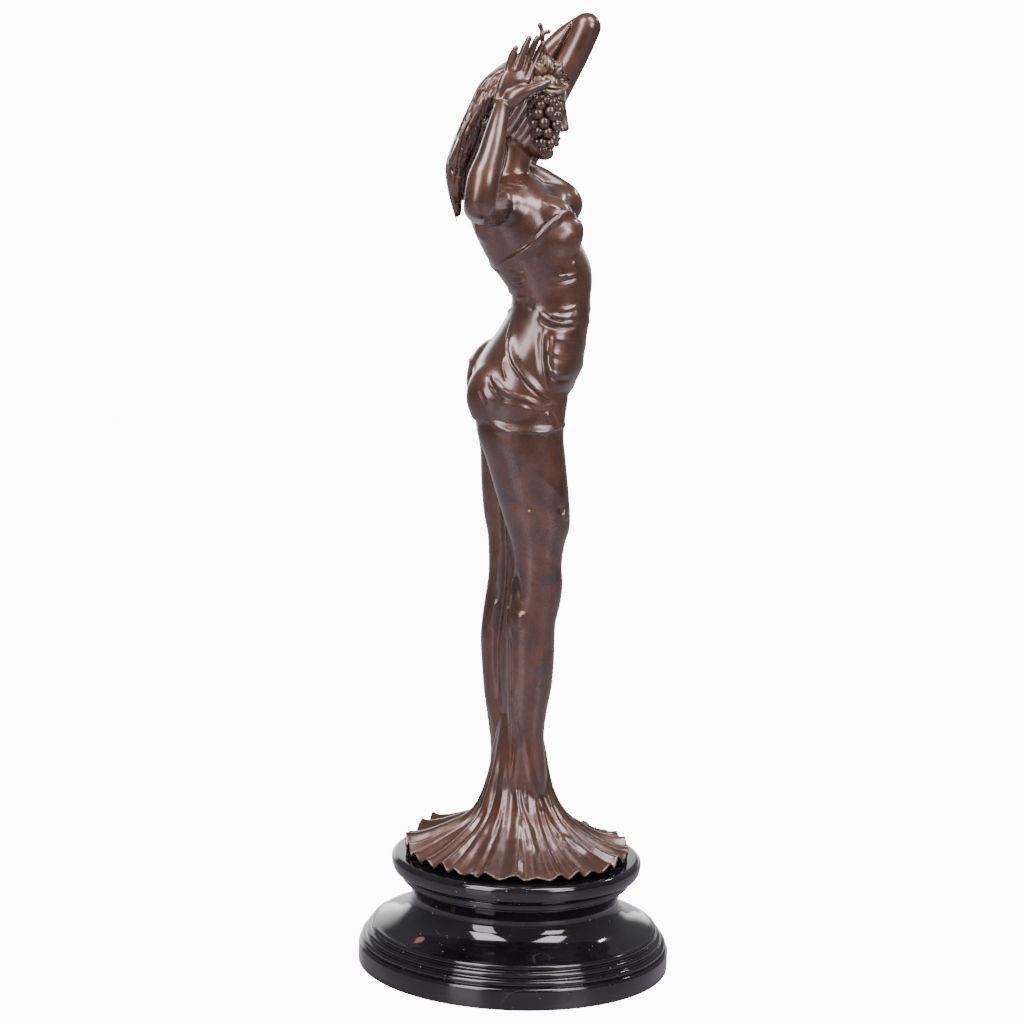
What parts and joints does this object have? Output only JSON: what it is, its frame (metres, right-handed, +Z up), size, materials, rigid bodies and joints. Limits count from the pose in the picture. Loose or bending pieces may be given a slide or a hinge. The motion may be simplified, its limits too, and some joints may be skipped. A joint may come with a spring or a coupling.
{
  "type": "bronze statue",
  "caption": "Cast bronze figure of a woman in a clinging long dress, one arm over the head and the other holding up a bunch of grapes, on a turned round marble plinth.",
  "frame": {"origin": "centre of the plinth's flat underside", "axes": "+Z up the statue, +X the way the figure faces, -Y towards the figure's right"},
  "size_m": [0.2308, 0.2495, 0.7004],
  "materials": {
    "bronze": "cast bronze with a polished dark reddish-brown patina",
    "black_marble": "polished black marble with small pale flecks"
  },
  "bodies": {
    "root": {"bronze_figure": "bronze", "marble_plinth": "black_marble"}
  },
  "joints": []
}
